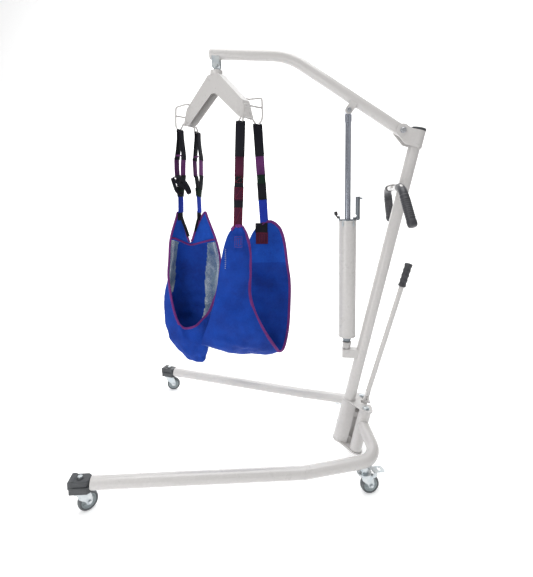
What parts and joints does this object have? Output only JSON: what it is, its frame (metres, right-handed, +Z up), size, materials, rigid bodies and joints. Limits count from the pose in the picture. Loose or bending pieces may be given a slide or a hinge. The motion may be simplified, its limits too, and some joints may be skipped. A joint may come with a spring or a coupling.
{
  "type": "patient lift hoist",
  "caption": "Mobile patient lift hoist with hydraulic jack, spreading castor base, two-point cradle and a hanging body sling.",
  "frame": {"origin": "on the floor, at the middle of the hoist's bounding box", "axes": "+Z up, the legs' open end towards -Y, X across the hoist with the mast in its mirror plane X = 0"},
  "size_m": [1.0572, 1.3487, 1.8262],
  "materials": {
    "paint": "satin light warm grey powder coat",
    "cap_plastic": "moulded black plastic",
    "zinc": "bright zinc plate",
    "bolt_steel": "machined steel",
    "ram_steel": "polished hard chrome",
    "pump_steel": "dark zinc steel",
    "grip_rubber": "soft black vinyl",
    "knob_plastic": "black plastic",
    "tyre_rubber": "dark grey rubber",
    "hub_plastic": "grey moulded nylon",
    "sling_fabric": "royal blue polyester with magenta binding",
    "webbing": "woven navy webbing"
  },
  "bodies": {
    "mast": {"mast_tube": "paint", "mast_cap": "cap_plastic", "head_bracket": "paint", "boom_pivot_bolt": "bolt_steel", "base_socket": "paint", "top_plate": "paint", "bottom_plate": "paint", "leg_pins": "bolt_steel", "lever_bracket": "paint", "jack_foot_bracket": "paint", "push_handle": "paint", "grip_right": "grip_rubber", "grip_left": "grip_rubber"},
    "lever": {"lever_crank": "paint", "lever_tube_node": "paint", "lever_grip": "grip_rubber"},
    "leg_right": {"leg_tube_right": "paint", "leg_sleeve_right": "paint", "end_cap_right": "cap_plastic", "front_plate_right": "zinc", "rear_plate_right": "zinc"},
    "leg_left": {"leg_tube_left": "paint", "leg_sleeve_left": "paint", "end_cap_left": "cap_plastic", "front_plate_left": "zinc", "rear_plate_left": "zinc"},
    "castor_front_right": {"fork_front_right": "zinc"},
    "wheel_front_right": {"hub_front_right": "hub_plastic", "tyre_front_right": "tyre_rubber"},
    "castor_front_left": {"fork_front_left": "zinc"},
    "wheel_front_left": {"hub_front_left": "hub_plastic", "tyre_front_left": "tyre_rubber"},
    "castor_rear_right": {"fork_rear_right": "zinc"},
    "wheel_rear_right": {"hub_rear_right": "hub_plastic", "tyre_rear_right": "tyre_rubber"},
    "brake_rear_right": {"pedal_right": "zinc"},
    "castor_rear_left": {"fork_rear_left": "zinc"},
    "wheel_rear_left": {"hub_rear_left": "hub_plastic", "tyre_rear_left": "tyre_rubber"},
    "brake_rear_left": {"pedal_left": "zinc"},
    "boom": {"boom_tube": "paint", "boom_jack_bracket": "paint", "boom_tip_bracket": "zinc"},
    "jack": {"jack_shroud": "paint", "jack_pump": "pump_steel", "jack_foot_eye": "bolt_steel"},
    "pump_lever": {"pump_lever_socket": "pump_steel"},
    "release": {"release_knob": "knob_plastic"},
    "ram": {"jack_ram": "ram_steel"},
    "hanger": {"swivel_link": "zinc"},
    "cradle": {"spreader": "paint", "hook_wire_near": "zinc", "hook_wire_far": "zinc", "sling_back": "sling_fabric", "sling_legs": "sling_fabric", "straps_back": "webbing", "straps_legs": "webbing"}
  },
  "joints": [
    {"name": "base_lever", "type": "hinge", "parent": "mast", "child": "lever", "pos_m": [0, 0.44644, 0.19735], "axis": [-1, 0, 0], "range_deg": [0, 26]},
    {"name": "leg_swing_right", "type": "hinge", "parent": "mast", "child": "leg_right", "pos_m": [0.056, 0.4348, 0.14257], "axis": [0, 0.2079, 0.9781], "range_deg": [-12.05, 0]},
    {"name": "leg_swing_left", "type": "hinge", "parent": "mast", "child": "leg_left", "pos_m": [-0.056, 0.4348, 0.14257], "axis": [0, 0.2079, 0.9781], "range_deg": [0, 12.05]},
    {"name": "swivel_front_right", "type": "hinge", "parent": "leg_right", "child": "castor_front_right", "pos_m": [0.49206, -0.63318, 0.08], "axis": [0, 0, 1], "continuous": true},
    {"name": "roll_front_right", "type": "hinge", "parent": "castor_front_right", "child": "wheel_front_right", "pos_m": [0.47236, -0.61779, 0.0375], "axis": [0.6157, 0.788, 0], "continuous": true},
    {"name": "swivel_front_left", "type": "hinge", "parent": "leg_left", "child": "castor_front_left", "pos_m": [-0.49206, -0.63318, 0.08], "axis": [0, 0, 1], "continuous": true},
    {"name": "roll_front_left", "type": "hinge", "parent": "castor_front_left", "child": "wheel_front_left", "pos_m": [-0.49852, -0.60903, 0.0375], "axis": [0.9659, 0.2588, 0], "continuous": true},
    {"name": "swivel_rear_right", "type": "hinge", "parent": "leg_right", "child": "castor_rear_right", "pos_m": [0.254, 0.428, 0.08], "axis": [0, 0, 1], "continuous": true},
    {"name": "roll_rear_right", "type": "hinge", "parent": "castor_rear_right", "child": "wheel_rear_right", "pos_m": [0.24545, 0.45149, 0.0375], "axis": [0.9397, 0.342, 0], "continuous": true},
    {"name": "brake_right", "type": "hinge", "parent": "castor_rear_right", "child": "brake_rear_right", "pos_m": [0.24305, 0.45807, 0.082], "axis": [0.9397, 0.342, 0], "range_deg": [-12, 0]},
    {"name": "swivel_rear_left", "type": "hinge", "parent": "leg_left", "child": "castor_rear_left", "pos_m": [-0.254, 0.428, 0.08], "axis": [0, 0, 1], "continuous": true},
    {"name": "roll_rear_left", "type": "hinge", "parent": "castor_rear_left", "child": "wheel_rear_left", "pos_m": [-0.2665, 0.40635, 0.0375], "axis": [-0.866, 0.5, 0], "continuous": true},
    {"name": "brake_left", "type": "hinge", "parent": "castor_rear_left", "child": "brake_rear_left", "pos_m": [-0.27, 0.40029, 0.082], "axis": [-0.866, 0.5, 0], "range_deg": [-12, 0]},
    {"name": "boom_lift", "type": "hinge", "parent": "mast", "child": "boom", "pos_m": [0, 0.5779, 1.45551], "axis": [1, 0, 0], "range_deg": [0, 50]},
    {"name": "jack_tilt", "type": "hinge", "parent": "mast", "child": "jack", "pos_m": [0, 0.373, 0.531], "axis": [1, 0, 0], "range_deg": [-0.5, 1]},
    {"name": "pump_stroke", "type": "hinge", "parent": "jack", "child": "pump_lever", "pos_m": [0, 0.40596, 1.08569], "axis": [-1, 0, 0], "range_deg": [0, 45]},
    {"name": "release_turn", "type": "hinge", "parent": "jack", "child": "release", "pos_m": [0, 0.3249, 1.08822], "axis": [0, -0.9998, -0.0181], "range_deg": [0, 120]},
    {"name": "ram_pivot", "type": "hinge", "parent": "boom", "child": "ram", "pos_m": [0, 0.35468, 1.54286], "axis": [1, 0, 0], "range_deg": [-50, 0]},
    {"name": "hanger_level", "type": "hinge", "parent": "boom", "child": "hanger", "pos_m": [0, -0.21905, 1.74629], "axis": [1, 0, 0], "range_deg": [-50.5, 0.5]},
    {"name": "cradle_swivel", "type": "hinge", "parent": "hanger", "child": "cradle", "pos_m": [0, -0.21905, 1.68629], "axis": [0, 0, 1], "continuous": true}
  ],
  "couplings": [
    {"joint": "leg_swing_right", "follows": "base_lever", "ratio": -0.46154},
    {"joint": "leg_swing_left", "follows": "base_lever", "ratio": 0.46154},
    {"joint": "jack_tilt", "follows": "boom_lift", "ratio": 0.005},
    {"joint": "ram_pivot", "follows": "boom_lift", "ratio": -0.995},
    {"joint": "hanger_level", "follows": "boom_lift", "ratio": -1}
  ]
}
